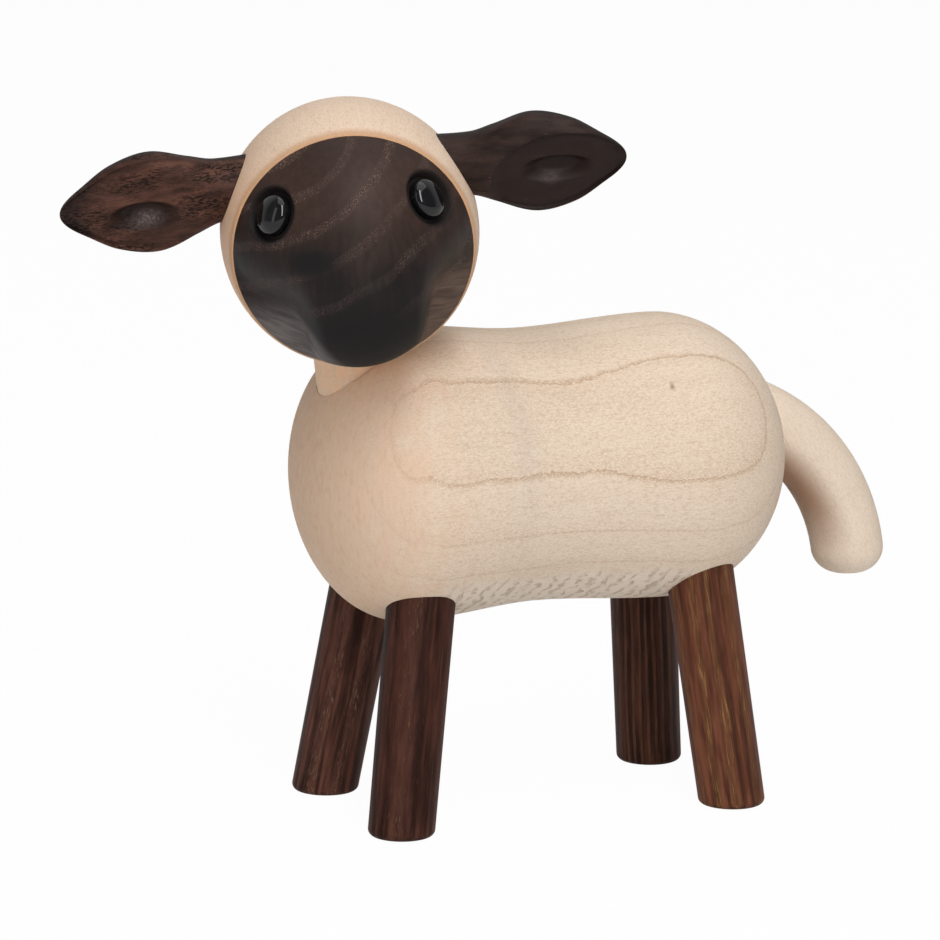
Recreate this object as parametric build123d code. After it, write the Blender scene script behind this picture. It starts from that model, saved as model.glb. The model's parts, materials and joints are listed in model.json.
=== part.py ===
from build123d import *
import os
from math import cos, radians, sin, sqrt, tan

# Wooden sheep figurine with a turning head, in millimetres.
# The sheep stands on the ground plane Z = 0, faces -Y, and has its left side at +X.
# The origin is the middle of the four feet on the ground.

# Body, turned about a level axis: two bulges with a shallow waist between them
body_axis_height = 52.0
front_end_y = -37.4
front_bulge_y = -21.9
front_bulge_radius = 22.3
waist_y = -1.2
waist_radius = 20.75
rear_bulge_y = 20.6
rear_bulge_radius = 21.8
rear_end_y = 40.0

# Legs, tapered dowels glued into drilled sockets
foot_side = 15.3
front_foot_y = -27.4
rear_foot_y = 27.4
leg_side_splay = 7.4
front_leg_rake = 8.0
rear_leg_rake = -6.3
foot_radius = 5.05
leg_top_radius = 5.25
leg_top_drop = 1.0
leg_length = body_axis_height - leg_top_drop
sole_edge_radius = 1.0

# Neck dowel, glued in the head and free to turn in the body
neck_radius = 7.4
neck_seat_y = -27.7
neck_seat_sink = 4.3
neck_tilt = 7.5
neck_socket_depth = 12.0
neck_rise = 16.0
neck_running_clearance = 0.08
neck_end_float = 0.1
neck_mouth_gap = 0.4
neck_mouth_depth = 1.5

# Head, an egg turned about the line from the nape to the nose and cut flat in front
head_turn = 70.5
head_nod = 6.7
head_lean = 1.0
head_forward = 8.5
head_rise = 21.7
head_radius = 19.2
head_half_length = 25.2
head_front = 9.1
head_edge_radius = 0.7

# Face, a dome on the head's flat front with a low muzzle and a hollow carved in each cheek
face_inset = 0.2
face_height = 12.4
muzzle_radius = 12.0
muzzle_drop = 31.0
muzzle_rise = 2.6
muzzle_blend_radius = 10.0
cheek_turn = 44.0
cheek_drop = 27.0
cheek_radius = 7.5
cheek_depth = 3.6

# Eyes, domed studs pressed into counterbored holes
eye_turn = 46.0
eye_lift = 28.0
eye_splay = 10.5
eye_radius = 3.05
eye_recess_radius = 4.05
eye_recess_depth = 1.7
eye_barrel_height = 1.0
eye_dome_height = 1.6
eye_stem_radius = 1.2
eye_stem_length = 5.0

# Ears, carved leaves on round stems
ear_lift = 8.3
ear_setback = 3.8
ear_turn = 80.0
ear_root = 19.1
ear_stem_radius = 4.6
ear_stem_length = 9.8
ear_length = 23.9
ear_width = 15.2
ear_thickness = 7.6
ear_station_shares = (0.16, 0.41, 0.66, 0.85, 0.96)
ear_width_shares = (0.77, 1.0, 0.84, 0.49, 0.24)
ear_thickness_shares = (1.16, 0.96, 0.74, 0.48, 0.26)
ear_dish_station_share = 0.47
ear_dish_length = 17.5
ear_dish_width = 11.6
ear_dish_depth = 2.2
ear_bowl_length = 11.0
ear_bowl_width = 5.6
ear_bowl_depth = 1.5
ear_bowl_drop = 1.3

# Tail, a bent dowel with a straight tenon
tail_radius = 5.6
tail_bend_radius = 28.4
tail_bend_y = 25.5
tail_bend_drop = 21.1
tail_start_angle = 24.0
tail_end_angle = 89.5
tail_tenon_length = 11.0
tail_end_radius = 4.0

# Fits shared by the glued joints, and one overrun for cuts that run clear of a surface
glue_gap = 0.05
socket_end_gap = 0.8
dowel_end_chamfer = 0.6
overrun = 5.0

sides = {"left": 1, "right": -1}
standing = (Align.CENTER, Align.CENTER, Align.MIN)


def aim(turn, lift):
    """Direction turned to the left from straight ahead and lifted from level."""
    level = cos(radians(lift))
    return Vector(sin(radians(turn)) * level, -cos(radians(turn)) * level, sin(radians(lift)))


def ellipsoid(radius_x, radius_y, radius_z):
    """A ball stretched to three radii."""
    return scale(Sphere(1), by=(radius_x, radius_y, radius_z))


def quarter_oval(end, middle, radius):
    """Quarter of an oval outline, from its end on the axis to its widest place."""
    return Bezier((end, 0), (end, radius), (middle, radius), weights=(1, sqrt(1 / 2), 1))


# Frames carried by one another: the neck on the body, the head on the neck, the face on the head
neck_seat_height = body_axis_height + front_bulge_radius - neck_seat_sink
neck_frame = Pos(0, neck_seat_y, neck_seat_height) * Rot(X=neck_tilt)
head_frame = neck_frame * Rot(Z=head_turn) * Pos(0, -head_forward, head_rise)
head_frame *= Rot(X=head_nod) * Rot(Y=head_lean)
head_front_radius = head_radius * sqrt(1 - (head_front / head_half_length) ** 2)
face_rim_radius = head_front_radius - face_inset
face_ball_radius = (face_rim_radius**2 + face_height**2) / (2 * face_height)
face_rim_depth = face_ball_radius - face_height
face_frame = head_frame * Pos(0, face_rim_depth - head_front, 0)


def eye_frame(side):
    """Frame on the face's surface at one eye, its Z the way the eye looks."""
    place = aim(side * eye_turn, eye_lift) * face_ball_radius
    outward = aim(side * (eye_turn + eye_splay), eye_lift)
    return face_frame * Plane(place, z_dir=outward).location


def ear_frame(side):
    """Frame at one ear's root: Z along the ear, Y out of its hollow face."""
    along = aim(side * ear_turn, 0)
    root = Vector(0, ear_setback, ear_lift) + along * ear_root
    return head_frame * Plane(root, x_dir=(0, 0, side), z_dir=along).location


def leg_frame(foot_y, rake, side):
    """Frame on the ground at one foot, its Z up the leg's axis."""
    lean = (-side * tan(radians(leg_side_splay)), tan(radians(rake)), 1)
    return Plane((side * foot_side, foot_y, 0), z_dir=lean).location


leg_frames = {
    f"leg_{end}_{name}": leg_frame(foot_y, rake, side)
    for end, foot_y, rake in (
        ("front", front_foot_y, front_leg_rake),
        ("rear", rear_foot_y, rear_leg_rake),
    )
    for name, side in sides.items()
}


def tail_point(angle):
    """Point on the tail's bend, the angle counted down from level."""
    turn = radians(angle)
    return Vector(
        0,
        tail_bend_y + tail_bend_radius * sin(turn),
        body_axis_height - tail_bend_drop + tail_bend_radius * cos(turn),
    )


# Frame at the tail's root, its Z out of the body along the tenon
tail_out = (0, cos(radians(tail_start_angle)), -sin(radians(tail_start_angle)))
tail_frame = Plane(tail_point(tail_start_angle), z_dir=tail_out).location


def hole(radius, depth):
    """Round hole down from a frame's origin, running clear above it."""
    return Pos(0, 0, -depth) * Cylinder(radius, depth + overrun, align=standing)


def leg_cone(low, high, gap=0.0):
    """Stretch of a leg's taper between two distances up its axis, grown by a gap."""
    growth = (leg_top_radius - foot_radius) / leg_length
    low_radius = foot_radius + growth * low + gap
    high_radius = foot_radius + growth * high + gap
    return Pos(0, 0, low) * Cone(low_radius, high_radius, high - low, align=standing)


def tail_rod(radius, tenon_length):
    """Rod along the tail: a straight tenon, then the bend."""
    middle_angle = (tail_start_angle + tail_end_angle) / 2
    bend = ThreePointArc(
        tail_point(tail_start_angle), tail_point(middle_angle), tail_point(tail_end_angle)
    )
    tenon = Pos(0, 0, -tenon_length) * Cylinder(radius, tenon_length, align=standing)
    return sweep(tail_frame * Circle(radius), bend) + tail_frame * tenon


def body():
    """Turned body with sockets for the legs, the neck and the tail."""
    front = quarter_oval(front_end_y, front_bulge_y, front_bulge_radius)
    waist = Spline(
        (front_bulge_y, front_bulge_radius),
        (waist_y, waist_radius),
        (rear_bulge_y, rear_bulge_radius),
        tangents=[(1, 0)] * 3,
    )
    rear = quarter_oval(rear_end_y, rear_bulge_y, rear_bulge_radius)
    axis_line = Line((front_end_y, 0), (rear_end_y, 0))
    outline = Plane.YZ * make_face([front, waist, rear, axis_line])
    turned = Pos(0, 0, body_axis_height) * Rot(Y=180) * revolve(outline, Axis.Y)
    for frame in leg_frames.values():
        turned -= frame * leg_cone(0, leg_length + socket_end_gap, glue_gap)
    turned -= neck_frame * hole(
        neck_radius + neck_running_clearance, neck_socket_depth + neck_end_float
    )
    turned -= neck_frame * hole(neck_radius + neck_mouth_gap, neck_mouth_depth)
    turned -= tail_rod(tail_radius + glue_gap, tail_tenon_length + socket_end_gap)
    return turned


def leg(frame):
    """Tapered leg with a chamfered top, cut level at the ground with an eased sole."""
    dowel = frame * leg_cone(-overrun, leg_length)
    dowel = chamfer(dowel.edges().group_by(Axis.Z)[-1], dowel_end_chamfer)
    dowel = split(dowel, bisect_by=Plane.XY, keep=Keep.TOP)
    return fillet(dowel.edges().group_by(Axis.Z)[0], sole_edge_radius)


def neck():
    """Plain dowel with chamfered ends between the body and the head."""
    dowel = Cylinder(neck_radius, neck_socket_depth + neck_rise, align=standing)
    dowel = chamfer(dowel.edges().filter_by(GeomType.CIRCLE), dowel_end_chamfer)
    return neck_frame * Pos(0, 0, -neck_socket_depth) * dowel


def head():
    """Egg cut flat in front, with sockets for the neck and the ears."""
    ends = (-head_half_length, head_half_length)
    arcs = [quarter_oval(end, 0, head_radius) for end in ends]
    axis_line = Line(*[(end, 0) for end in ends])
    egg = revolve(Plane.YZ * make_face([*arcs, axis_line]), Axis.Y)
    egg = split(egg, bisect_by=Plane.XZ.offset(head_front), keep=Keep.BOTTOM)
    egg = fillet(egg.edges().group_by(Axis.Y)[0], head_edge_radius)
    egg = head_frame * egg
    egg -= neck_frame * Pos(0, 0, -overrun) * Cylinder(
        neck_radius + glue_gap, overrun + neck_rise + socket_end_gap, align=standing
    )
    for side in sides.values():
        egg -= ear_frame(side) * hole(ear_stem_radius + glue_gap, ear_stem_length + socket_end_gap)
    return egg


def face():
    """Dome with a muzzle, hollow cheeks and a counterbored socket for each eye."""
    muzzle_reach = face_ball_radius + muzzle_rise - muzzle_radius
    cheek_reach = face_ball_radius + cheek_radius - cheek_depth
    ball = Sphere(face_ball_radius)
    muzzle = Pos(*aim(0, -muzzle_drop) * muzzle_reach) * Sphere(muzzle_radius)
    dome = ball + muzzle
    dome = fillet(new_edges(ball, muzzle, combined=dome), muzzle_blend_radius)
    dome = split(dome, bisect_by=Plane.XZ.offset(face_rim_depth), keep=Keep.TOP)
    cheeks = [
        Pos(*aim(side * cheek_turn, -cheek_drop) * cheek_reach) * Sphere(cheek_radius)
        for side in sides.values()
    ]
    carved = face_frame * (dome - cheeks)
    for side in sides.values():
        carved -= eye_frame(side) * hole(eye_recess_radius, eye_recess_depth)
        carved -= eye_frame(side) * hole(
            eye_stem_radius + glue_gap, eye_recess_depth + eye_stem_length + socket_end_gap
        )
    return carved


def eye(side):
    """Domed stud whose barrel stands on the floor of its recess."""
    stem = Pos(0, 0, -eye_stem_length) * Cylinder(eye_stem_radius, eye_stem_length, align=standing)
    barrel = Cylinder(eye_radius, eye_barrel_height, align=standing)
    dome = Pos(0, 0, eye_barrel_height) * ellipsoid(eye_radius, eye_radius, eye_dome_height)
    dome = split(dome, bisect_by=Plane.XY.offset(eye_barrel_height), keep=Keep.TOP)
    return eye_frame(side) * Pos(0, 0, -eye_recess_depth) * (stem + barrel + dome)


def ear(side):
    """Leaf lofted from a round stem to its tip, with a dish and a deeper bowl in front."""
    slices = [
        Pos(0, 0, ear_length * station) * Ellipse(ear_width * wide / 2, ear_thickness * thick / 2)
        for station, wide, thick in zip(ear_station_shares, ear_width_shares, ear_thickness_shares)
    ]
    leaf = loft([Circle(ear_stem_radius), *slices, Vertex(0, 0, ear_length)])
    middle = ear_dish_station_share * ear_length
    front = ear_thickness / 2
    leaf -= Pos(0, front, middle) * ellipsoid(ear_dish_width / 2, ear_dish_depth, ear_dish_length / 2)
    bowl_floor = front - ear_dish_depth
    leaf -= Pos(-side * ear_bowl_drop, bowl_floor, middle) * ellipsoid(
        ear_bowl_width / 2, ear_bowl_depth, ear_bowl_length / 2
    )
    stem = Pos(0, 0, -ear_stem_length) * Cylinder(ear_stem_radius, ear_stem_length, align=standing)
    return ear_frame(side) * (leaf + stem)


def tail():
    """Bent dowel with a rounded end."""
    rod = tail_rod(tail_radius, tail_tenon_length)
    return fillet(rod.edges().group_by(Axis.Z)[0], tail_end_radius)


nodes = {
    "body": body(),
    "neck": neck(),
    "head": head(),
    "face": face(),
    "tail": tail(),
}
nodes |= {name: leg(frame) for name, frame in leg_frames.items()}
nodes |= {f"eye_{name}": eye(side) for name, side in sides.items()}
nodes |= {f"ear_{name}": ear(side) for name, side in sides.items()}

os.makedirs("parts", exist_ok=True)
for name, shape in nodes.items():
    export_step(shape, f"parts/{name}.step")
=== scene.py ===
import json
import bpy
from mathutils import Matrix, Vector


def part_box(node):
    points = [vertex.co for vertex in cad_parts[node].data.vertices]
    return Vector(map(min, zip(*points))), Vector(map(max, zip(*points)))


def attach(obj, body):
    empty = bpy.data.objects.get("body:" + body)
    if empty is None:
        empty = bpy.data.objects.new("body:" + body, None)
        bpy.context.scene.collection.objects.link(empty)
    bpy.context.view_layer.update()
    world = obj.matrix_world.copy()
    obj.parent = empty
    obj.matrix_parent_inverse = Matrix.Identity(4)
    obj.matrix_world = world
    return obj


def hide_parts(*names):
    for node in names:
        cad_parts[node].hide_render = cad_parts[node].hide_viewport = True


bl_info = {
    "name": "Wooden Sheep Figurine",
    "version": (1, 0, 0),
    "blender": (4, 5, 0),
    "location": "3D View > Sidebar > Sheep",
    "description": "Carves a wooden sheep's face, ears and eyes and finishes its two woods",
    "category": "Add Mesh",
}

from math import acos, cos, hypot, pi, radians, sin, sqrt

import bmesh
import bpy
from bpy.props import FloatProperty, FloatVectorProperty, PointerProperty
from mathutils import Matrix, Vector

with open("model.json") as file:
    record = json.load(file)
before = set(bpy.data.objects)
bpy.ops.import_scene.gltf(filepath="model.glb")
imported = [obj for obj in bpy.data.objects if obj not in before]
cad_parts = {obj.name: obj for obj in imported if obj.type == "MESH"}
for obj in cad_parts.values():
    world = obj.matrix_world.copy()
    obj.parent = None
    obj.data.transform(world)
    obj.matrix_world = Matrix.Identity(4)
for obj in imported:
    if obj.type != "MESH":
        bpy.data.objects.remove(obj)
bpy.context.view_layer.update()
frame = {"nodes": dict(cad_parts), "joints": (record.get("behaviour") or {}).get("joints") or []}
MM = 0.001
SIDES = {"left": 1, "right": -1}
BODY_FRAME = Matrix.Identity(4)
WHITE = (1.0, 1.0, 1.0, 1.0)

# Places of the colours among a Mix node's sockets
MIX_FIRST, MIX_SECOND, MIX_RESULT = 6, 7, 2

# Stretch along an axis that leaves no change along it
ENDLESS = 1e6


def length(name, default_mm, description):
    """A length property, written in millimetres and kept in metres."""
    return FloatProperty(
        name=name, description=description, default=default_mm * MM, unit="LENGTH", precision=5
    )


def angle(name, default_degrees, description):
    """An angle property, written in degrees."""
    return FloatProperty(
        name=name, description=description, default=radians(default_degrees), subtype="ANGLE"
    )


def colour(name, default, description):
    """A linear colour property."""
    return FloatVectorProperty(
        name=name, description=description, default=default, subtype="COLOR", min=0.0, max=1.0
    )


class SheepSizes(bpy.types.PropertyGroup):
    """Sizes of the carved pieces and their places on the head."""

    head_turn: angle("Head turn", 70.5, "How far the head looks to the sheep's left")
    head_nod: angle("Head nod", 6.7, "How far the head looks down")
    head_lean: angle("Head lean", 1.0, "How far the head leans to the sheep's left")
    head_forward: length("Head forward", 8.5, "Middle of the head in front of the neck's axis")
    head_rise: length("Head rise", 21.7, "Middle of the head above the neck's seat")
    head_front: length("Head front", 9.1, "Flat front of the head in front of its middle")
    face_rim: length("Face rim", 17.7, "Radius of the face where it meets the head")
    face_height: length("Face height", 12.4, "Height of the face's dome over its rim")
    muzzle_radius: length("Muzzle radius", 12.0, "Roundness of the muzzle")
    muzzle_rise: length("Muzzle rise", 2.6, "How far the muzzle stands out of the dome")
    muzzle_drop: angle("Muzzle drop", 31.0, "How far below straight ahead the muzzle points")
    cheek_depth: length("Cheek depth", 3.8, "Depth of the hollow in each cheek")
    eye_turn: angle("Eye turn", 46.0, "How far to the side each eye lies")
    eye_lift: angle("Eye lift", 28.0, "How far up each eye lies")
    eye_splay: angle("Eye splay", 10.5, "How far each eye looks outward past the face's own slope")
    eye_radius: length("Eye radius", 3.05, "Radius of the polished dome")
    eye_dome: length("Eye dome", 1.6, "Height of the dome over its barrel")
    eye_barrel: length("Eye barrel", 1.0, "Height of the barrel under the dome")
    recess_radius: length("Recess radius", 4.05, "Radius of the round recess around each eye")
    recess_depth: length("Recess depth", 1.7, "Depth of the round recess around each eye")
    ear_lift: length("Ear lift", 8.3, "Ears above the middle of the head")
    ear_setback: length("Ear setback", 3.8, "Ears behind the middle of the head")
    ear_turn: angle("Ear turn", 80.0, "How far to the side each ear points")
    ear_root: length("Ear root", 19.1, "Start of the leaf along the ear's axis")
    ear_length: length("Ear length", 23.9, "Length of the leaf")
    ear_width: length("Ear width", 15.2, "Greatest width of the leaf")
    ear_thickness: length("Ear thickness", 7.6, "Thickness that the leaf's shares refer to")


class SheepFinish(bpy.types.PropertyGroup):
    """Colours of the two woods and the eyes."""

    maple_pale: colour("Pale maple", (0.82, 0.67, 0.53), "Maple between its growth rings")
    maple_warm: colour("Warm maple", (0.75, 0.59, 0.45), "Slow changes of tone in the maple")
    maple_line: colour("Maple ring", (0.50, 0.30, 0.17), "Thin dark edge of each growth ring")
    maple_end: colour("Maple end grain", (0.80, 0.55, 0.38), "End grain on the chest")
    maple_fleck: colour("Maple fleck", (0.92, 0.79, 0.65), "Bright flecks of the grain")
    # A faint grey band laid over the colour of the back
    band_grey: colour("Grey band", (0.45, 0.40, 0.36), "Faint band over the back")
    knot_brown: colour("Pin knot", (0.30, 0.15, 0.07), "Knot on the left flank")
    belly_pale: colour("Scraped belly", (0.90, 0.79, 0.67), "Scraped wood under the body")
    chatter_brown: colour("Belly chatter", (0.50, 0.36, 0.25), "Tool marks under the body")
    neck_warm: colour("Warm neck", (0.95, 0.60, 0.37), "Warmer stick of the neck")
    # Painted shade on the inside of the tail's bend
    bend_shade_brown: colour("Tail bend", (0.30, 0.16, 0.09), "Inside of the tail's bend")
    head_warm: colour("Warm head", (0.84, 0.52, 0.34), "Warm tone of the whole head")
    head_side: colour("Side of head", (0.84, 0.51, 0.32), "Warm tone of the head's right side")
    rim_scorch: colour("Scorched rim", (0.58, 0.31, 0.15), "Edge of the head round the face")
    # Painted shade along the ears' edges
    ear_edge_shade: colour("Deep ash", (0.010, 0.008, 0.008), "Painted shade along the ears' edges")
    ash_pore: colour("Ash pore", (0.23, 0.14, 0.115), "Dry pores that catch the light")
    brow_warmth: colour("Brow warmth", (0.024, 0.011, 0.007), "Brown added to the brow")
    # Painted shade on the muzzle, in the crease above it and in the eye recesses
    face_shade_colour: colour("Dark muzzle", (0.009, 0.008, 0.008), "Muzzle and eye recesses")
    # Painted sheen on the cheek hollows, left and right
    cheek_sheen_left: colour("Left cheek", (0.150, 0.098, 0.072), "Painted sheen on the left cheek")
    cheek_sheen_right: colour("Right cheek", (0.180, 0.157, 0.153), "Painted sheen on the right cheek")
    # Painted shade in the ears' dish and bowl
    hollow_shade: colour("Ear hollow", (0.018, 0.010, 0.008), "Dish and bowl of the ears")
    # Painted highlight on the floor of the ears' bowls
    bowl_highlight: colour("Bowl highlight", (0.17, 0.13, 0.12), "Painted highlight on the floor of the ears' bowls")
    eye_black: colour("Eye black", (0.006, 0.006, 0.007), "Polished eyes")
    eye_haze: colour("Eye haze", (0.016, 0.016, 0.018), "Faint haze on the eyes")


class SheepStage(bpy.types.PropertyGroup):
    """Floor, light and camera."""

    floor_colour: colour("Floor", (0.92, 0.92, 0.92), "Pale studio floor")
    floor_radius: FloatProperty(
        name="Floor radius", description="Reach of the floor", default=4.0, unit="LENGTH"
    )
    world_strength: FloatProperty(name="Room light", description="Even light", default=0.16)
    camera_turn: angle("Camera turn", 66.70, "Camera round the sheep from straight in front")
    camera_lift: angle("Camera lift", 11.60, "Camera above level")
    camera_roll: angle("Camera roll", 0.54, "Camera's lean")
    camera_right: length("Camera right", -9.293, "Picture's middle to the right of the origin")
    camera_up: length("Camera up", 49.838, "Picture's middle above the origin")
    camera_distance: length("Camera distance", 1151.0, "Camera from the picture's middle")
    camera_lens: FloatProperty(
        name="Lens",
        description="Focal length in millimetres",
        default=287.73,
        subtype="DISTANCE_CAMERA",
    )


# Frames on the head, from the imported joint


def neck_frame():
    """Frame at the neck's seat, its Z up the axis the head turns about."""
    joint = frame["joints"][0]
    up = Vector(joint["axis"])
    lean = Vector((0, 0, 1)).rotation_difference(up).to_matrix().to_4x4()
    return Matrix.Translation(joint["pos_m"]) @ lean


def head_frame(sizes):
    """Frame at the middle of the head: -Y out of the face, +X to the sheep's left."""
    turn = Matrix.Rotation(sizes.head_turn, 4, "Z")
    place = Matrix.Translation((0, -sizes.head_forward, sizes.head_rise))
    nod = Matrix.Rotation(sizes.head_nod, 4, "X") @ Matrix.Rotation(sizes.head_lean, 4, "Y")
    return neck_frame() @ turn @ place @ nod


def face_ball(sizes):
    """Radius of the ball the face is a cap of, and the height of the cap's rim over its middle."""
    radius = (sizes.face_rim**2 + sizes.face_height**2) / (2 * sizes.face_height)
    return radius, radius - sizes.face_height


def face_frame(sizes):
    """Frame at the middle of the face's ball."""
    return head_frame(sizes) @ Matrix.Translation((0, face_ball(sizes)[1] - sizes.head_front, 0))


def aim(turn, lift):
    """Direction turned to the left from straight ahead and lifted from level."""
    return Vector((sin(turn) * cos(lift), -cos(turn) * cos(lift), sin(lift)))


def frame_along(origin, along, side):
    """Frame whose Z runs along a direction and whose X runs along a given side."""
    z = along.normalized()
    y = z.cross(side).normalized()
    x = y.cross(z)
    turned = Matrix((x, y, z)).transposed().to_4x4()
    return Matrix.Translation(origin) @ turned


def eye_axis(sizes, side):
    """Middle of one eye's recess on the face, and the way the eye looks."""
    place = aim(side * sizes.eye_turn, sizes.eye_lift) * face_ball(sizes)[0]
    return place, aim(side * (sizes.eye_turn + sizes.eye_splay), sizes.eye_lift)


def eye_frame(sizes, side):
    """Frame on the floor of one eye's recess, its Z the way the eye looks."""
    place, outward = eye_axis(sizes, side)
    floor = place - outward * sizes.recess_depth
    return face_frame(sizes) @ frame_along(floor, outward, Vector((0, 0, 1)))


def ear_frame(sizes, side):
    """Frame at one ear's root: Z along the leaf, X across it, Y out of its hollow."""
    along = aim(side * sizes.ear_turn, 0)
    root = Vector((0, sizes.ear_setback, sizes.ear_lift)) + along * sizes.ear_root
    return head_frame(sizes) @ frame_along(root, along, Vector((0, 0, side)))


def leg_frame(node):
    """Frame at a leg's foot, its Z up the leg, read from the leg's own top and bottom."""
    low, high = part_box(node)
    points = [v.co for v in frame["nodes"][node].data.vertices]
    band = (high.z - low.z) / 8
    foot = [p for p in points if p.z < low.z + band]
    top = [p for p in points if p.z > high.z - band]
    foot = sum(foot, Vector()) / len(foot)
    top = sum(top, Vector()) / len(top)
    return frame_along(foot, top - foot, Vector((1, 0, 0)))


# Shading


def add(tree, kind, sockets=None, output=0, **settings):
    """Add a shader node, set its options, fill its sockets and return one of its outputs."""
    node = tree.nodes.new(kind)
    for name, value in settings.items():
        setattr(node, name, value)
    for key, value in (sockets or {}).items():
        if isinstance(value, Shade):
            tree.links.new(value.socket, node.inputs[key])
        else:
            node.inputs[key].default_value = value
    return Shade(tree, node.outputs[output]) if node.outputs else None


def opaque(value):
    """A colour with full alpha, or the shade that gives one."""
    return value if isinstance(value, Shade) else (*value, 1.0)


class Shade:
    """Output of a shader node, from which further nodes are written as plain arithmetic."""

    def __init__(self, tree, socket):
        self.tree, self.socket = tree, socket

    def math(self, operation, a, b=0.0):
        """One sum on two values."""
        return add(self.tree, "ShaderNodeMath", {0: a, 1: b}, operation=operation)

    def __add__(self, other):
        return self.math("ADD", self, other)

    def __sub__(self, other):
        return self.math("SUBTRACT", self, other)

    def __rsub__(self, other):
        return self.math("SUBTRACT", other, self)

    def __mul__(self, other):
        return self.math("MULTIPLY", self, other)

    def __truediv__(self, other):
        return self.math("DIVIDE", self, other)

    def __abs__(self):
        return self.math("ABSOLUTE", self)

    def fraction(self):
        """What is left over whole numbers."""
        return self.math("FRACT", self)

    def wave(self):
        """Sine of an angle."""
        return self.math("SINE", self)

    def most(self, other):
        """Greater of two values."""
        return self.math("MAXIMUM", self, other)

    def least(self, other):
        """Smaller of two values."""
        return self.math("MINIMUM", self, other)

    def fade(self, low, high, to_low=0.0, to_high=1.0):
        """Smooth step from one level to another."""
        levels = {"From Min": low, "From Max": high, "To Min": to_low, "To Max": to_high}
        sockets = {"Value": self, **levels}
        return add(self.tree, "ShaderNodeMapRange", sockets, interpolation_type="SMOOTHSTEP")

    def mix(self, factor, a, b, blend="MIX"):
        """Two colours mixed by a factor."""
        sockets = {0: factor, MIX_FIRST: opaque(a), MIX_SECOND: opaque(b)}
        settings = {"data_type": "RGBA", "blend_type": blend}
        return add(self.tree, "ShaderNodeMix", sockets, MIX_RESULT, **settings)

    def between(self, a, b):
        """Colour between two others, by this share."""
        return self.mix(self, a, b)

    def tint(self, factor, other, blend="MIX"):
        """This colour mixed with another by a factor."""
        return self.mix(factor, self, other, blend)

    def vector(self, operation, other=(0.0, 0.0, 0.0), output="Vector"):
        """One sum on two vectors."""
        sockets = {0: self, 1: other}
        return add(self.tree, "ShaderNodeVectorMath", sockets, output, operation=operation)

    def along(self, direction):
        """How far a place lies along a direction."""
        return self.vector("DOT_PRODUCT", direction, "Value")

    def distance(self, point=(0.0, 0.0, 0.0)):
        """How far a place lies from a point."""
        return self.vector("DISTANCE", point, "Value")

    def scaled(self, shares):
        """A vector made longer or shorter along each axis."""
        return self.vector("MULTIPLY", shares)

    def axes(self):
        """X, Y and Z of a vector."""
        kind, sockets = "ShaderNodeSeparateXYZ", {"Vector": self}
        return [add(self.tree, kind, sockets, output) for output in "XYZ"]

    def cloud(self, scale, detail=2.0):
        """Noise between 0 and 1 over places."""
        sockets = {"Vector": self, "Scale": scale, "Detail": detail}
        return add(self.tree, "ShaderNodeTexNoise", sockets, "Fac")


def local_mm(tree, place, stretch=(1, 1, 1)):
    """The surface's place in a frame of the piece, in millimetres, shortened along some axes."""
    sockets = {
        "Vector": add(tree, "ShaderNodeTexCoord", output="Object"),
        "Location": place.to_translation(),
        "Rotation": place.to_euler(),
        "Scale": [MM * s for s in stretch],
    }
    return add(tree, "ShaderNodeMapping", sockets, vector_type="TEXTURE")


def blank(name):
    """A new material with an empty node tree."""
    material = bpy.data.materials.new(name)
    material.use_nodes = True
    material.node_tree.nodes.clear()
    return material


def finish_surface(material, base, roughness, height, relief_mm, shine):
    """Close a material with its colour, roughness, relief and shine."""
    tree = material.node_tree
    relief = {"Height": height, "Distance": relief_mm * MM, "Strength": 1.0}
    sockets = {
        "Base Color": base,
        "Roughness": roughness,
        "Normal": add(tree, "ShaderNodeBump", relief),
        "Specular IOR Level": shine,
    }
    surface = add(tree, "ShaderNodeBsdfPrincipled", sockets)
    add(tree, "ShaderNodeOutputMaterial", {"Surface": surface})
    return material


# Maple


def maple(name, finish, place, ring, marks):
    """Pale maple: ring lines, slow changes of tone and short flecks along the grain, local Y."""
    material = blank(name)
    tree = material.node_tree
    where = local_mm(tree, place)
    slow = local_mm(tree, place, (1.0, 6.0, 1.0)).cloud(0.09, 3.0)
    threads = local_mm(tree, place, (0.55, 14.0, 0.55)).cloud(1.0, 4.0)
    flecks = local_mm(tree, place, (0.26, 0.9, 0.26)).cloud(1.0, 3.0)
    weave = local_mm(tree, place, (0.16, 0.4, 0.16)).cloud(1.0, 2.0)
    base = slow.fade(0.3, 0.75).between(finish.maple_pale, finish.maple_warm)
    base = base.tint(maple_rings(where, ring), finish.maple_line)
    base = base.tint(threads.fade(0.48, 0.68, 0.0, 0.11), finish.maple_line)
    base = base.tint(flecks.fade(0.44, 0.66, 0.0, 0.28), finish.maple_line)
    base = base.tint(weave.fade(0.48, 0.6, 0.0, 0.5), finish.maple_fleck)
    base, height = marks(finish, where, base, flecks * 0.6 + weave * 0.6)
    roughness = flecks.fade(0.3, 0.7, 0.5, 0.62)
    return finish_surface(material, base, roughness, height, relief_mm=0.09, shine=0.12)


def maple_rings(where, ring):
    """Darkness of the growth rings: each comes on slowly and ends in a thin line."""
    wander = (where.cloud(0.11) - 0.5) * 0.9
    shiver = (where.cloud(1.1) - 0.5) * 0.3
    depth = where.along(ring["normal"]) + (wander + shiver)
    if "swell" in ring:
        depth = depth - ring["swell"](where)
    count = (ring["start"] - depth) / ring["spacing"]
    phase = count.fraction()
    first, others = ring["lines"]
    strength = abs(count).fade(0.6, 0.4, others, first)
    line = phase.fade(0.09, 0.0) * strength
    late = phase.fade(0.78, 1.0, 0.0, 0.22) * strength
    return line.most(late)


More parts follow.
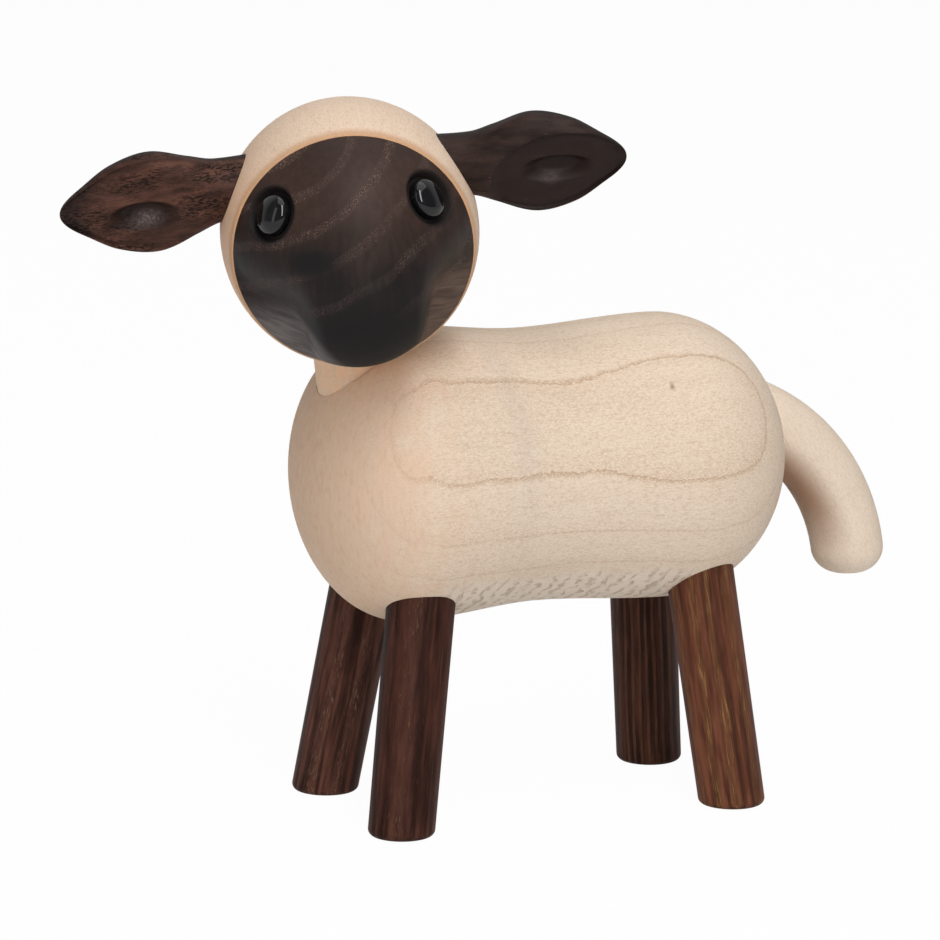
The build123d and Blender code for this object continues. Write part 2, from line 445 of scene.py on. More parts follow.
def body_swell(where):
    """The log's own taper: its rings lie deeper at the shoulders and run out at both ends."""
    _, along, _ = where.axes()
    shoulder = along.fade(-2.0, -20.0, 0.0, 1.25)
    front = along.fade(-24.5, -30.0, 0.0, 1.7)
    rear = along.fade(23.0, 32.0, 0.0, 1.5)
    return shoulder - (front + rear)


def body_marks(finish, where, base, height):
    """Marks of this body, from the chest to the belly."""
    base = chest_grain(finish, where, base)
    base = grey_back_band(finish, where, base)
    base = pin_knot(finish, where, base)
    return belly_chatter(finish, where, base, height)


def chest_grain(finish, where, base):
    """Mottled, fibrous end grain on the chest."""
    mottle = local_mm(where.tree, BODY_FRAME, (1.0, 1.0, 3.0)).cloud(0.35, 5.0)
    fibre = local_mm(where.tree, BODY_FRAME, (0.7, 0.7, 1.6)).cloud(1.0, 6.0)
    _, along, _ = where.axes()
    chest = (along + mottle * 20.0).fade(-6.0, -28.0, 0.0, 0.85)
    base = base.tint(chest, finish.maple_end)
    base = base.tint(chest * fibre.fade(0.48, 0.7, 0.0, 0.3), finish.maple_pale)
    return base.tint(chest * fibre.fade(0.5, 0.3, 0.0, 0.2), finish.maple_line)


def grey_back_band(finish, where, base):
    """Faint grey band over the back, bowed forward at the top."""
    _, along, up = where.axes()
    bow = (up - 60.0).most(0.0) * 0.12
    band = abs(along + 9.6 + bow).fade(3.6, 0.0, 0.0, 0.15)
    return base.tint(band * up.fade(46.0, 60.0, 0.4, 1.0), finish.band_grey)


def pin_knot(finish, where, base):
    """Pin knot high on the left flank."""
    far = local_mm(where.tree, BODY_FRAME, (1.0, 0.6, 1.0)).distance((16.6, 26.2, 65.8))
    ragged = far + where.cloud(1.6, 3.0) * 0.9
    return base.tint(ragged.fade(1.5, 0.4, 0.0, 0.8), finish.knot_brown)


def belly_chatter(finish, where, base, height):
    """Short slanting tool marks bitten into a paler belly between the legs."""
    _, along, up = where.axes()
    ragged = up + where.cloud(0.3) * 4.0
    belly = ragged.fade(41.0, 38.0) * abs(along).fade(24.0, 18.0)
    base = base.tint(belly * 0.6, finish.belly_pale)
    lean = (up - 34.0) * -0.35
    shake = where.cloud(0.6) * 3.4
    strokes = ((along + (lean + shake)) * 2.8).wave().fade(0.0, 0.9)
    patchy = where.cloud(0.75, 3.0).fade(0.38, 0.6)
    bite = belly * patchy * strokes
    return base.tint(bite * 0.62, finish.chatter_brown), height - bite * 2.0


def neck_marks(finish, where, base, height):
    """The neck, turned from a warmer stick."""
    streak = where.cloud(0.5, 3.0).fade(0.3, 0.7, 0.4, 0.8)
    return base.tint(streak, finish.neck_warm), height


def tail_marks(finish, where, base, height):
    """The inside of the tail's bend, browned with painted shade where the body shades it."""
    middle = Matrix.Translation((0, 25.5 * MM, 30.9 * MM))
    bend = local_mm(where.tree, middle).scaled((0.0, 1.0, 1.0))
    # Painted shade: browner towards the inside of the bend and towards the body
    inside = bend.distance().fade(28.0, 23.2, 0.0, 0.9)
    _, _, up = bend.axes()
    root = up.fade(2.0, 14.0, 0.15, 1.0)
    base = base.tint(0.35, finish.maple_fleck)
    return base.tint(inside * root, finish.bend_shade_brown), height


def rim_marks(finish, where, base, height):
    """The head's front edge, browned where the cutter and the dark face met it."""
    across, front, _ = where.axes()
    base = base.tint(0.2, finish.head_warm)
    base = base.tint(across.fade(-9.0, -18.0, 0.0, 0.6), finish.head_side)
    return base.tint(front.fade(-6.8, -9.2, 0.0, 0.85), finish.rim_scorch), height


# Smoked ash


def smoked_ash(name, finish, place, cut, marks=None):
    """Heat-darkened ash: rings of open pores along the grain, local Z, some of them pale."""
    material = blank(name)
    tree = material.node_tree
    where = local_mm(tree, place)
    depth, early = ash_rings(where, place, cut)
    pore = ash_pores(where, place, cut, depth, early)
    tone = local_mm(tree, place, cut["tone_stretch"]).cloud(1.0, 5.0)
    mottle = local_mm(tree, place, (0.8, 0.8, 5)).cloud(0.9, 6.0)
    base = tone.fade(0.35, 0.65).between(cut["deep"], cut["warm"])
    base = base.tint(early * cut["stripe"], cut["stripe_colour"])
    base = base.tint(1.0, mottle.fade(0.35, 0.65, 0.8, 1.2), "MULTIPLY")
    base = base.tint(pore * cut["pore_amount"], cut["pore_colour"])
    roughness = (pore + tone * 0.4).fade(0.1, 1.0, 0.5, 0.7)
    height = where.cloud(4.0, 2.0) * 0.25 - pore * cut["sink"]
    if marks:
        base, roughness, height = marks(finish, where, base, roughness, height)
    return finish_surface(material, base, roughness, height, relief_mm=0.12, shine=cut["shine"])


def ash_rings(where, place, cut):
    """Depth across the growth rings, and the porous early part of each."""
    if "axis" in cut:
        depth = local_mm(where.tree, cut["axis"], (1, 1, ENDLESS)).distance()
    else:
        depth = where.along(cut["normal"])
    sway = local_mm(where.tree, place, (1, 1, 4)).cloud(0.16) - 0.5
    depth = depth + sway * cut["sway"]
    phase = ((depth - cut["start"]) / cut["spacing"]).fraction()
    return depth, phase.fade(0.0, 0.12) * phase.fade(cut["early"], cut["early"] - 0.15)


def ash_pores(where, place, cut, depth, early):
    """Open pores, crowded in the early part of each ring and patchy along it."""
    dots = local_mm(where.tree, place, cut["pore_stretch"]).cloud(1.0, 2.0)
    pore = dots.fade(cut["level"], cut["level"] + 0.08)
    pore = pore * early.fade(0.0, 1.0, cut["stray"], 1.0)
    pore = pore * where.cloud(0.16, 3.0).fade(0.38, 0.6, 0.2, 1.0)
    if "thin_out" in cut:
        pore = pore * depth.fade(*cut["thin_out"], 1.0, 0.35)
    return pore


def face_marks(finish, where, base, roughness, height):
    """A warmer brow, painted shade on the muzzle, in the crease above it and in the eye recesses,
    and a painted sheen on the cheeks.
    """
    _, _, up = where.axes()
    dark = face_painted_shade(where)
    base = base.tint(up.fade(-1.0, 13.0), finish.brow_warmth, "ADD")
    # Painted shade laid over the face's colour
    base = base.tint(dark, finish.face_shade_colour)
    base = cheek_sheen(finish, where, base)
    return base, roughness + dark * 0.22, height * (1.0 - dark)


def face_painted_shade(where):
    """Painted shade on the muzzle, in the crease above it and in the eye recesses."""
    # Painted shade on the muzzle's lower half and side walls, which face down and away from the
    # light
    muzzle = where.distance((0.8, -14.5, -11.5)).fade(14.0, 6.5, 0.0, 0.94)
    # Painted shade in the crease between the brow and the muzzle, on the sheep's right
    crease_shade = where.scaled((0.55, 0.6, 1.0)).distance((-3.6, -10.5, 2.4))
    dark = muzzle.most(crease_shade.fade(3.4, 1.0, 0.0, 0.92))
    # Painted shade in the eye recesses
    for x in (-12.0, 12.0):
        dark = dark.most(where.distance((x, -11.6, 8.8)).fade(4.9, 4.0, 0.0, 0.9))
    return dark


def cheek_sheen(finish, where, base):
    """Painted sheen: cheeks made paler in streaks on both sides of a muzzle that narrows downward.
    """
    cheeks = (
        {"edges": (-7.4, -10.0), "lean": 0.7, "fall": (-4.0, -11.0), "paler": finish.cheek_sheen_right},
        {"edges": (9.4, 11.4), "lean": -0.3, "fall": (-1.0, -7.0), "paler": finish.cheek_sheen_left},
    )
    across, _, up = where.axes()
    slanted = Matrix.Rotation(radians(-50), 4, "Y")
    sheen_streaks = local_mm(where.tree, slanted, (0.5, 4.0, 5.0)).cloud(1.0, 3.0)
    narrower = (up + 8.0).least(0.0)
    for cheek in cheeks:
        aside = across + narrower * cheek["lean"]
        pale = aside.fade(*cheek["edges"]) * up.fade(*cheek["fall"])
        # Painted sheen: streaks of paler colour where the cheek hollows reflect the light
        base = base.tint(pale * sheen_streaks.fade(0.25, 0.75, 0.4, 0.9), cheek["paler"])
    return base


def face_ash(finish, place):
    """Face: pores lie in arcs round a point beyond the brow."""
    heart = Vector((-12.6, -15.0, 27.8)) * MM
    heart = frame_along(heart, aim(radians(-2.3), radians(21.2)), Vector((1, 0, 0)))
    cut = dict(
        axis=place @ heart, start=14.3, spacing=5.6, sway=2.0, early=0.38,
        stripe=0.4, stripe_colour=(0.040, 0.027, 0.023),
        pore_stretch=(0.16, 0.5, 0.2), level=0.54, stray=0.05, thin_out=(22.5, 27.0),
        pore_amount=0.85, pore_colour=finish.ash_pore, sink=0.6,
        tone_stretch=(12, 12, 12), deep=(0.012, 0.008, 0.007), warm=(0.026, 0.016, 0.013),
        shine=0.18,
    )
    return smoked_ash("face_smoked_ash", finish, place, cut, face_marks)


def ear_hollow(where, oval, edge):
    """Strength of an oval mark on the ear's front, fading out over a share of its reach (painted
    shade in the hollows, a painted highlight on the bowl's floor).
    """
    offset = where.vector("SUBTRACT", oval["middle"])
    shares = (1 / oval["across"], 0.0, 1 / oval["along"])
    far = offset.scaled(shares).vector("LENGTH", output="Value")
    _, front, _ = where.axes()
    return far.fade(1.0, 1.0 - edge) * front.fade(-0.6, 0.0) * oval["dark"]


def ear_marks(cut):
    """Marks of one ear: painted shade along its edges and in its dish and bowl, which are also
    smoother, and a painted highlight on the bowl's floor.
    """

    def marks(finish, where, base, roughness, height):
        _, front, _ = where.axes()
        # Painted shade in the dish and bowl
        dark = ear_hollow(where, cut["dish"], 0.06).most(ear_hollow(where, cut["bowl"], 0.2))
        sparkle = where.cloud(2.2, 4.0).fade(0.4, 0.65, 0.35, 1.0)
        # Painted shade along the ear's edges, where the leaf turns away from the light
        base = base.tint(abs(front).fade(1.2, 0.3, 0.0, 0.75), finish.ear_edge_shade)
        base = base.tint(dark, finish.hollow_shade)
        # Painted highlight on the bowl's floor, broken into sparkles
        base = base.tint(ear_hollow(where, cut["bowl_glint"], 1.0) * sparkle, finish.bowl_highlight)
        return base, roughness - dark * 0.06, height * (1.0 - dark)

    return marks


def ear_ash(name, finish, place, cut):
    """Ears: short pits along the leaf, dense on one ear and few on the other."""
    cut = dict(
        cut, normal=(0.75, 0.65, 0.1), spacing=4.2, sway=3.0, early=0.7, stripe=0.35,
        pore_stretch=(0.2, 0.5, 0.85), stray=0.3, pore_amount=0.9, sink=3.2,
        tone_stretch=(2, 2, 7), shine=0.14,
    )
    return smoked_ash(name, finish, place, cut, ear_marks(cut))


def leg_ash(name, finish, place, cut):
    """Legs: streaks of pores up the dowel, as each was cut from the board."""
    turn = radians(cut["turn"])
    cut = dict(
        cut, normal=(cos(turn), sin(turn), 0.0), early=0.5,
        pore_stretch=(0.2, 0.2, cut["dash"]), stray=0.12, pore_amount=0.8, sink=0.8,
        tone_stretch=(0.9, 0.9, 14), shine=0.08,
    )
    return smoked_ash(name, finish, place, cut)


# Pieces


def settle(name, mesh, material, body, node):
    """Make an object of a bmesh, dress it, and let it stand for a node on a body."""
    data = bpy.data.meshes.new(name)
    bmesh.ops.recalc_face_normals(mesh, faces=mesh.faces)
    mesh.to_mesh(data)
    mesh.free()
    data.materials.append(material)
    data.polygons.foreach_set("use_smooth", [True] * len(data.polygons))
    piece = bpy.data.objects.new(name, data)
    bpy.context.scene.collection.objects.link(piece)
    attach(piece, body)
    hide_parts(node)


def close_rim(mesh):
    """Fill the open rim of a mesh with one face."""
    bmesh.ops.contextual_create(mesh, geom=[edge for edge in mesh.edges if edge.is_boundary])


def shaped_sheet(columns, rows, shape):
    """A grid with each point placed by its two shares, welded where edges meet and capped."""
    mesh = bmesh.new()
    bmesh.ops.create_grid(mesh, x_segments=columns, y_segments=rows, size=0.5)
    for vert in mesh.verts:
        vert.co = shape(vert.co.x + 0.5, vert.co.y + 0.5)
    bmesh.ops.remove_doubles(mesh, verts=mesh.verts, dist=0.0002 * MM)
    close_rim(mesh)
    return mesh


def dress(node, material):
    """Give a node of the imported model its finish."""
    data = frame["nodes"][node].data
    data.materials.clear()
    data.materials.append(material)


def soft_step(value, low, high):
    """Smooth step from 0 at one level to 1 at another."""
    share = max(0.0, min(1.0, (value - low) / (high - low)))
    return share * share * (3 - 2 * share)


def ease(a, b, amount):
    """Greater of two heights with a soft change between them."""
    share = max(0.0, min(1.0, 0.5 + 0.5 * (a - b) / amount))
    return b + (a - b) * share + amount * share * (1 - share)


def ball_hit(direction, middle, radius):
    """Where a ray from the origin leaves a ball, or nothing if it misses."""
    run = direction.dot(middle)
    room = run * run - middle.length_squared + radius * radius
    return run + sqrt(room) if room > 0 and run > 0 else None


class SHEEP_OT_face(bpy.types.Operator):
    """Carve the dark face with its muzzle, cheek hollows and eye recesses"""

    bl_idname = "sheep.face"
    bl_label = "Face"

    columns, rows = 460, 190

    # Muzzle to the sheep's left of the middle, in millimetres
    muzzle_side = 1.2

    # Cheek hollow across and up the face, in millimetres: its middle, then its reach
    # inward and outward, then its reach above and below
    hollow_middle = (13.5, -11.0)
    hollow_across = (7.6, 12.0)
    hollow_level = (14.0, 10.0)

    # Most of the wood under the dome that a hollow may take
    hollow_share = 0.85

    # Softness of the hollow's floor, the muzzle's edge and the recess's edge
    hollow_ease, muzzle_ease, recess_ease = 1.0 * MM, 2.0 * MM, 0.2 * MM

    def execute(self, context):
        sizes, finish = context.scene.sheep_sizes, context.scene.sheep_finish
        radius, rim = face_ball(sizes)
        tools = self.tools(sizes, radius)
        spread = acos(rim / radius)

        def shape(round_share, out_share):
            turn, out = 2 * pi * round_share, spread * out_share
            direction = Vector((sin(out) * cos(turn), -cos(out), sin(out) * sin(turn)))
            return self.carve(direction, radius, rim, **tools)

        mesh = shaped_sheet(self.columns, self.rows, shape)
        place = face_frame(sizes)
        bmesh.ops.transform(mesh, matrix=place, verts=mesh.verts)
        settle("carved_face", mesh, face_ash(finish, place), "head", "face")
        return {"FINISHED"}

    def tools(self, sizes, radius):
        """The muzzle's ball, the hollows and the recesses, gathered once for every point."""
        middle = aim(0, -sizes.muzzle_drop) * (radius + sizes.muzzle_rise - sizes.muzzle_radius)
        eyes = []
        for side in SIDES.values():
            place, outward = eye_axis(sizes, side)
            eyes.append((place, outward, place.dot(outward) - sizes.recess_depth))
        return {
            "muzzle": (middle, sizes.muzzle_radius),
            "deepest": sizes.cheek_depth,
            "eyes": eyes,
            "recess": sizes.recess_radius,
        }

    def hollow(self, direction, radius):
        """Share of the cheek hollow's depth in a direction."""
        across = abs(direction.x * radius / MM - self.muzzle_side)
        aside = across - self.hollow_middle[0]
        over = direction.z * radius / MM - self.hollow_middle[1]
        inner, outer = self.hollow_across
        above, below = self.hollow_level
        far = hypot(aside / (inner if aside < 0 else outer), over / (above if over > 0 else below))
        return (1 - min(far, 1.0) ** 2) ** 2

    def carve(self, direction, radius, rim, muzzle, deepest, eyes, recess):
        """Point of the carved face in a direction from the middle of its ball."""
        scoop = self.hollow(direction, radius)
        room = max(0.0, -direction.y * radius - rim)
        sink = max(0.0, -ease(-deepest * scoop, -self.hollow_share * room, self.hollow_ease))
        bump = ball_hit(direction, *muzzle)
        lift = ease(radius, bump, self.muzzle_ease) - radius if bump else 0.0
        reach = radius - sink + lift * (1 - scoop)
        for place, outward, floor in eyes:
            offset = direction * reach - place
            upright = direction.dot(outward)
            aside = (offset - outward * offset.dot(outward)).length
            if upright > 0.3 and aside < recess + MM:
                inside = soft_step(aside, recess + self.recess_ease, recess - self.recess_ease)
                reach += (floor / upright - reach) * inside
        return direction * reach


class SHEEP_OT_eyes(bpy.types.Operator):
    """Turn the polished eyes"""

    bl_idname = "sheep.eyes"
    bl_label = "Eyes"

    def execute(self, context):
        sizes, finish = context.scene.sheep_sizes, context.scene.sheep_finish
        material = self.polish(sizes, finish)
        for name, side in SIDES.items():
            mesh = self.stud(sizes)
            bmesh.ops.transform(mesh, matrix=eye_frame(sizes, side), verts=mesh.verts)
            settle(f"polished_eye_{name}", mesh, material, "head", f"eye_{name}")
        return {"FINISHED"}

    def polish(self, sizes, finish):
        """Black polish with a faint haze."""
        material = blank("polished_eye")
        haze = local_mm(material.node_tree, face_frame(sizes)).cloud(0.6, 3.0)
        base = haze.fade(0.45, 0.8, 0.0, 0.5).between(finish.eye_black, finish.eye_haze)
        roughness = haze.fade(0.3, 0.8, 0.02, 0.05)
        return finish_surface(material, base, roughness, haze, relief_mm=0.001, shine=0.4)

    def stud(self, sizes):
        """Dome on a short barrel that stands on the origin."""
        mesh = bmesh.new()
        bmesh.ops.create_uvsphere(mesh, u_segments=96, v_segments=64, radius=1.0)
        dome = (sizes.eye_radius, sizes.eye_radius, sizes.eye_dome)
        bmesh.ops.scale(mesh, vec=dome, verts=mesh.verts)
        everything = mesh.verts[:] + mesh.edges[:] + mesh.faces[:]
        bmesh.ops.bisect_plane(
            mesh, geom=everything, dist=0.001 * MM, plane_no=(0, 0, 1), clear_inner=True
        )
        bmesh.ops.translate(mesh, vec=(0, 0, sizes.eye_barrel), verts=mesh.verts)
        rim = [edge for edge in mesh.edges if edge.is_boundary]
        wall = bmesh.ops.extrude_edge_only(mesh, edges=rim)["geom"]
        low = [item for item in wall if isinstance(item, bmesh.types.BMVert)]
        bmesh.ops.translate(mesh, vec=(0, 0, -sizes.eye_barrel), verts=low)
        close_rim(mesh)
        return mesh


def smooth_share(stations, shares, station):
    """Value at a station on a smooth curve through shares."""
    last = len(stations) - 1
    index = max(i for i in range(last) if stations[i] <= station or i == 0)
    low, high = stations[index], stations[index + 1]
    t = (station - low) / (high - low)

    def slope(i):
        a, b = max(i - 1, 0), min(i + 1, last)
        return (shares[b] - shares[a]) / (stations[b] - stations[a]) * (high - low)

    a, b = shares[index], shares[index + 1]
    return (
        a * (2 * t**3 - 3 * t**2 + 1)
        + slope(index) * (t**3 - 2 * t**2 + t)
        + b * (3 * t**2 - 2 * t**3)
        + slope(index + 1) * (t**3 - t**2)
    )


class SHEEP_OT_ears(bpy.types.Operator):
    """Carve the leaf ears with their dish and bowl"""

    bl_idname = "sheep.ears"
    bl_label = "Ears"

    columns, rows = 220, 150

    # How much the mesh's rows crowd toward the tip, and how flat the leaf's front is
    crowding, front_flatness = 1.4, 0.6

    # Shares of the leaf's length, and its width and thickness there
    stations = (-0.35, 0.0, 0.16, 0.41, 0.66, 0.85, 0.96, 1.0)
    widths = (0.605, 0.625, 0.77, 1.0, 0.84, 0.49, 0.24, 0.04)
    thicks = (1.21, 1.21, 1.16, 0.96, 0.74, 0.48, 0.26, 0.05)

    # Ovals stand at a share of the leaf's length; their other sizes are in millimetres
    # The dish's and bowl's dark is the strength of painted shade in them; the third oval's dark is
    # the strength of a painted highlight on the bowl's floor
    cuts = {
        "left": dict(
            reach=0.97, start=2.0, level=0.63,
            dish=dict(
                station=0.58, drop=2.7, across=7.5, along=11.0, depth=0.7, edge=0.1, dark=0.8
            ),
            bowl=dict(station=0.54, drop=0.75, across=2.2, along=6.0, depth=1.5, dark=0.9),
            bowl_glint=dict(station=0.5, drop=2.1, across=1.4, along=2.2, dark=0.3),
            stripe_colour=(0.038, 0.020, 0.016), pore_colour=(0.16, 0.09, 0.07),
            deep=(0.017, 0.010, 0.008), warm=(0.038, 0.021, 0.017),
        ),
        "right": dict(
            reach=1.0, start=-2.0, level=0.515,
            dish=dict(
                station=0.62, drop=0.3, across=11.0, along=14.0, depth=1.0, edge=0.7, dark=0.0
            ),
            bowl=dict(station=0.49, drop=1.5, across=2.4, along=5.9, depth=1.6, dark=0.7),
            bowl_glint=dict(station=0.465, drop=2.0, across=1.8, along=3.4, dark=1.0),
            stripe_colour=(0.070, 0.030, 0.019), pore_colour=(0.008, 0.005, 0.004),
            deep=(0.042, 0.018, 0.012), warm=(0.102, 0.043, 0.029),
        ),
    }

    def execute(self, context):
        sizes, finish = context.scene.sheep_sizes, context.scene.sheep_finish
        for name, side in SIDES.items():
            cut = dict(self.cuts[name])
            for part in ("dish", "bowl", "bowl_glint"):
                oval = cut[part] = dict(cut[part])
                along = oval["station"] * sizes.ear_length / MM
                oval["middle"] = (-side * oval["drop"], 0.0, along)

            def shape(round_share, along_share):
                turn = 2 * pi * round_share
                point = self.leaf(turn, along_share, sizes, cut["reach"])
                return self.scrape(point, abs(cos(turn)), side, cut) * MM

            mesh = shaped_sheet(self.columns, self.rows, shape)
            place = ear_frame(sizes, side)
            bmesh.ops.transform(mesh, matrix=place, verts=mesh.verts)
            material = ear_ash(f"ear_smoked_ash_{name}", finish, place, cut)
            settle(f"carved_ear_{name}", mesh, material, "head", f"ear_{name}")
        return {"FINISHED"}

    def leaf(self, turn, share, sizes, reach):
        """Point of the plain leaf: round at the stem, flatter in front, rounded at the tip."""
        first, last = self.stations[0], self.stations[-1]
        station = first + (last - first) * (1 - (1 - share) ** self.crowding)
        wide = smooth_share(self.stations, self.widths, station)
        thick = smooth_share(self.stations, self.thicks, station)
        if station > self.stations[-2]:
            rounding = sqrt((last - station) / (last - self.stations[-2]))
            wide, thick = self.widths[-2] * rounding, self.thicks[-2] * rounding
        flatness = self.front_flatness if sin(turn) > 0 and station > 0 else 1.0
        blend = soft_step(station, 0.0, 0.3)
        rise = abs(sin(turn)) ** (1 + (flatness - 1) * blend)
        across = sizes.ear_width / 2 * wide * cos(turn)
        front = sizes.ear_thickness / 2 * thick * (rise if sin(turn) > 0 else -rise)
        along = sizes.ear_length * (station if station < 0 else station * reach)
        return Vector((across, front, along)) / MM

    def scrape(self, point, out, side, cut):
        """Sink a dish inside the leaf's rim, and a bowl that is steep above and shallow below."""
        if point.y <= 0:
            return point
        sink = 0.0
        within = soft_step(out, 0.95, 0.86)
        for part in ("dish", "bowl"):
            oval = cut[part]
            aside = (point.x - oval["middle"][0]) / oval["across"]
            far = hypot(aside, (point.z - oval["middle"][2]) / oval["along"])
            if part == "dish":
                sink += oval["depth"] * soft_step(far, 1.0, 1.0 - oval["edge"]) * within
            elif far < 1:
                edge = 0.62 - 0.3 * side * aside / max(far, 0.01)
                sink += oval["depth"] * soft_step(far, 1.0, 1.0 - edge)
        point.y -= min(sink, 0.8 * point.y)
        return point


class SHEEP_OT_body(bpy.types.Operator):
    """Finish the maple body, neck and tail"""

    bl_idname = "sheep.body"
    bl_label = "Body, neck and tail"

    # Height of the body's axis, and its outermost ring from that axis, in millimetres
    axis_height, outer_ring = 52.0, 19.55

    # How far the outermost ring faces up from the left side
    ring_tilt = radians(27.5)

    def execute(self, context):
        finish = context.scene.sheep_finish
        out = Vector((cos(self.ring_tilt), 0, sin(self.ring_tilt)))
        start = out.z * self.axis_height + self.outer_ring
        ring = {"normal": out, "start": start, "spacing": 5.0, "lines": (0.7, 0.36)}
        ring["swell"] = body_swell
        dress("body", maple("body_maple", finish, BODY_FRAME, ring, body_marks))
        ring = {"normal": (0.8, 0, 0.6), "start": 1.0, "spacing": 3.0, "lines": (0.3, 0.3)}
        upright = neck_frame() @ Matrix.Rotation(pi / 2, 4, "X")
        dress("neck", maple("neck_maple", finish, upright, ring, neck_marks))
        ring = {"normal": (0.25, 0.95, 0.15), "start": 10.2, "spacing": 8.0, "lines": (0.2, 0.12)}
        low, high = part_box("tail")
        along = Matrix.Translation((low + high) / 2) @ Matrix.Rotation(radians(-60), 4, "X")
        dress("tail", maple("tail_maple", finish, along, ring, tail_marks))
        return {"FINISHED"}


class SHEEP_OT_head(bpy.types.Operator):
    """Finish the maple head"""

    bl_idname = "sheep.head"
    bl_label = "Head"

    def execute(self, context):
        sizes, finish = context.scene.sheep_sizes, context.scene.sheep_finish
        ring = {"normal": (0.45, 0.1, 0.9), "start": 21.0, "spacing": 6.0, "lines": (0.2, 0.2)}
        dress("head", maple("head_maple", finish, head_frame(sizes), ring, rim_marks))
        return {"FINISHED"}


class SHEEP_OT_legs(bpy.types.Operator):
    """Finish the smoked ash legs"""

    bl_idname = "sheep.legs"
    bl_label = "Legs"

    # Turn of the rings round each dowel in degrees, their start, spacing and sway in
    # millimetres, then the strength, level, length and colours of stripes, pores and wood
    cuts = {
        "leg_front_left": dict(
            turn=60, start=-1.9, spacing=6.4, sway=1.2, stripe=0.6, level=0.58, dash=1.7,
            stripe_colour=(0.092, 0.037, 0.025), pore_colour=(0.16, 0.085, 0.052),
            deep=(0.028, 0.010, 0.007), warm=(0.070, 0.025, 0.017),
        ),
        "leg_front_right": dict(
            turn=75, start=0.6, spacing=3.6, sway=2.4, stripe=0.4, level=0.53, dash=1.3,
            stripe_colour=(0.125, 0.053, 0.037), pore_colour=(0.20, 0.115, 0.080),
            deep=(0.028, 0.010, 0.007), warm=(0.125, 0.049, 0.033),
        ),
        "leg_rear_left": dict(
            turn=62, start=0.3, spacing=2.6, sway=3.2, stripe=0.4, level=0.51, dash=4.5,
            stripe_colour=(0.170, 0.072, 0.032), pore_colour=(0.30, 0.155, 0.060),
            deep=(0.072, 0.024, 0.014), warm=(0.165, 0.057, 0.031),
        ),
        "leg_rear_right": dict(
            turn=65, start=0.0, spacing=1.1, sway=1.4, stripe=0.75, level=0.60, dash=2.5,
            stripe_colour=(0.105, 0.045, 0.026), pore_colour=(0.13, 0.065, 0.035),
            deep=(0.024, 0.009, 0.006), warm=(0.068, 0.026, 0.016),
        ),
    }

    def execute(self, context):
        finish = context.scene.sheep_finish
        for node, cut in self.cuts.items():
            dress(node, leg_ash(f"{node}_ash", finish, leg_frame(node), cut))
        return {"FINISHED"}


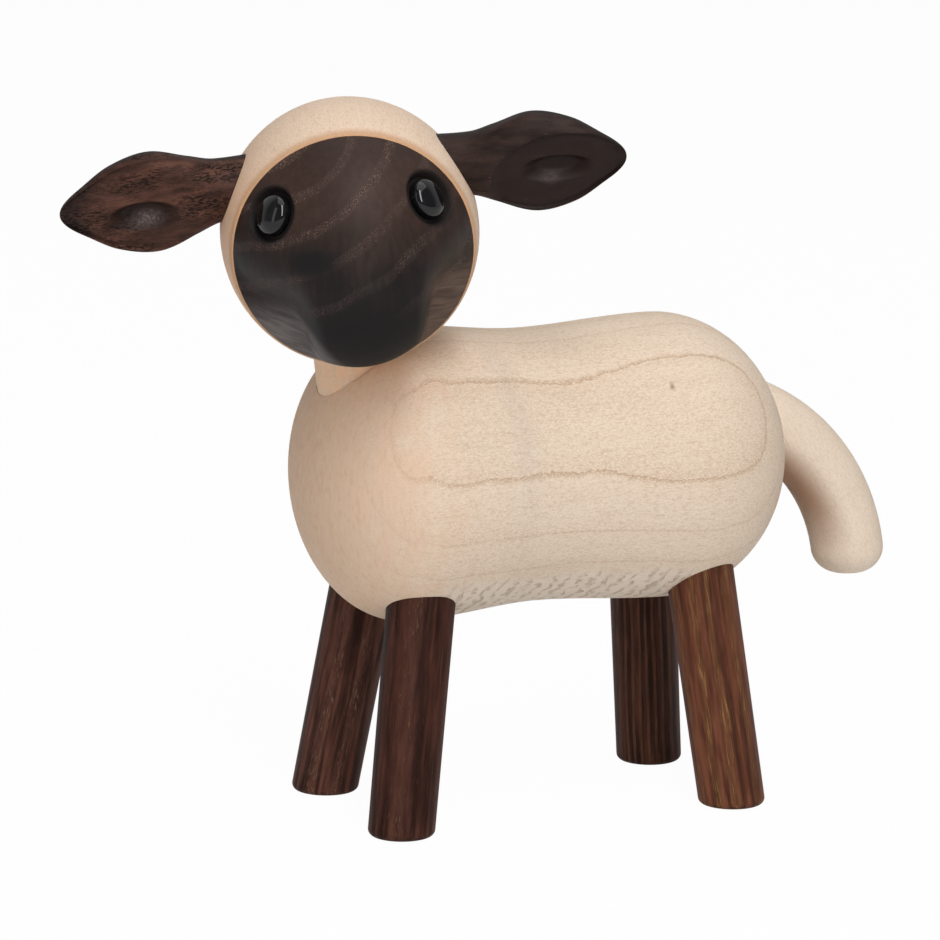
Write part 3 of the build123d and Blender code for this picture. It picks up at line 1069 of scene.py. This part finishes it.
class SHEEP_OT_stage(bpy.types.Operator):
    """Set up the floor, the soft light and the camera"""

    bl_idname = "sheep.stage"
    bl_label = "Stage"

    # Direction by the camera's right, up and back, then width and height, then power
    softboxes = (
        ("key_softbox", (0.14, 0.50, 0.88), (0.2, 0.95), 6.5),
        ("side_softbox", (-0.75, 0.25, 0.6), (0.22, 0.8), 0.7),
        ("top_softbox", (0.1, 1.0, 0.25), (0.9, 0.9), 3.5),
    )

    # Share of plain white on the floor as the camera sees it, and in polished surfaces
    floor_white, mirrored_white = 0.97, 0.5

    def execute(self, context):
        scene, stage = context.scene, context.scene.sheep_stage
        scene.view_settings.view_transform = "Standard"
        self.make_floor(scene, stage)
        self.make_room(scene, stage)
        view = self.make_camera(scene, stage)
        target = Vector((0, 0, stage.camera_up))
        for name, direction, size, power in self.softboxes:
            self.make_softbox(scene, name, view, target, direction, size, power)
        return {"FINISHED"}

    def back(self, stage):
        """Direction from the sheep to the camera."""
        return aim(stage.camera_turn, stage.camera_lift)

    def seen(self, tree, share):
        """Whether the camera sees a surface, straight, through glass or by a share in polish."""
        path = "ShaderNodeLightPath"
        mirrored = add(tree, path, output="Is Glossy Ray") * share
        mirrored = mirrored.most(add(tree, path, output="Is Transmission Ray"))
        return add(tree, path, output="Is Camera Ray").most(mirrored)

    def make_floor(self, scene, stage):
        """Pale round floor that keeps a faint shadow."""
        mesh = bmesh.new()
        bmesh.ops.create_circle(mesh, segments=64, radius=stage.floor_radius, cap_ends=True)
        data = bpy.data.meshes.new("floor")
        mesh.to_mesh(data)
        mesh.free()
        floor = bpy.data.objects.new("floor", data)
        scene.collection.objects.link(floor)
        material = blank("studio_floor")
        tree = material.node_tree
        paper = add(tree, "ShaderNodeBsdfDiffuse", {"Color": opaque(stage.floor_colour)})
        white = add(tree, "ShaderNodeEmission", {"Color": WHITE, "Strength": 1.0})
        seen = self.seen(tree, self.mirrored_white) * self.floor_white
        surface = add(tree, "ShaderNodeMixShader", {0: seen, 1: paper, 2: white})
        add(tree, "ShaderNodeOutputMaterial", {"Surface": surface})
        data.materials.append(material)

    def make_room(self, scene, stage):
        """Soft even room with a white backdrop behind the sheep."""
        world = bpy.data.worlds.new("white_room")
        world.use_nodes = True
        tree = world.node_tree
        tree.nodes.clear()
        dim = {"Color": WHITE, "Strength": stage.world_strength}
        light = add(tree, "ShaderNodeBackground", dim)
        white = add(tree, "ShaderNodeBackground", {"Color": WHITE, "Strength": 1.0})
        facing = add(tree, "ShaderNodeTexCoord", output="Generated").along(self.back(stage))
        seen = self.seen(tree, facing.fade(0.1, -0.2, 0.0, self.mirrored_white))
        surface = add(tree, "ShaderNodeMixShader", {0: seen, 1: light, 2: white})
        add(tree, "ShaderNodeOutputWorld", {"Surface": surface})
        scene.world = world

    def make_camera(self, scene, stage):
        """Camera at the photograph's angle; returns its right, up and back."""
        back = self.back(stage)
        right = Vector((cos(stage.camera_turn), sin(stage.camera_turn), 0))
        up = back.cross(right)
        middle = right * stage.camera_right + up * stage.camera_up
        lean = Matrix.Rotation(stage.camera_roll, 3, back)
        view = Matrix((lean @ right, lean @ up, back)).transposed()
        data = bpy.data.cameras.new("camera")
        data.lens = stage.camera_lens
        data.sensor_width = 36.0
        data.clip_end = 20.0
        camera = bpy.data.objects.new("camera", data)
        place = Matrix.Translation(middle + back * stage.camera_distance)
        camera.matrix_world = place @ view.to_4x4()
        scene.collection.objects.link(camera)
        scene.camera = camera
        return view

    def make_softbox(self, scene, name, view, target, direction, size, power):
        """One rectangular light aimed at the sheep, placed by the camera's own axes."""
        away = view @ Vector(direction).normalized()
        data = bpy.data.lights.new(name, "AREA")
        data.shape = "RECTANGLE"
        data.size, data.size_y = size
        data.energy = power
        lamp = bpy.data.objects.new(name, data)
        turned = away.to_track_quat("Z", "Y").to_matrix().to_4x4()
        lamp.matrix_world = Matrix.Translation(target + away) @ turned
        scene.collection.objects.link(lamp)


STEPS = (
    SHEEP_OT_body,
    SHEEP_OT_head,
    SHEEP_OT_legs,
    SHEEP_OT_face,
    SHEEP_OT_eyes,
    SHEEP_OT_ears,
    SHEEP_OT_stage,
)


class SHEEP_PT_panel(bpy.types.Panel):
    """Steps that make the sheep"""

    bl_idname = "SHEEP_PT_panel"
    bl_label = "Wooden Sheep"
    bl_space_type = "VIEW_3D"
    bl_region_type = "UI"
    bl_category = "Sheep"

    def draw(self, context):
        for step in STEPS:
            self.layout.operator(step.bl_idname)


GROUPS = {"sheep_sizes": SheepSizes, "sheep_finish": SheepFinish, "sheep_stage": SheepStage}


def register():
    """Register the groups of properties, the steps and the panel."""
    for name, group in GROUPS.items():
        bpy.utils.register_class(group)
        setattr(bpy.types.Scene, name, PointerProperty(type=group))
    for cls in (*STEPS, SHEEP_PT_panel):
        bpy.utils.register_class(cls)


def unregister():
    """Take everything out again in the opposite order."""
    for cls in (SHEEP_PT_panel, *reversed(STEPS)):
        bpy.utils.unregister_class(cls)
    for name, group in reversed(GROUPS.items()):
        delattr(bpy.types.Scene, name)
        bpy.utils.unregister_class(group)


def main():
    """Make the sheep step by step."""
    register()
    for step in STEPS:
        family, name = step.bl_idname.split(".")
        getattr(getattr(bpy.ops, family), name)()


if __name__ == "__main__":
    main()
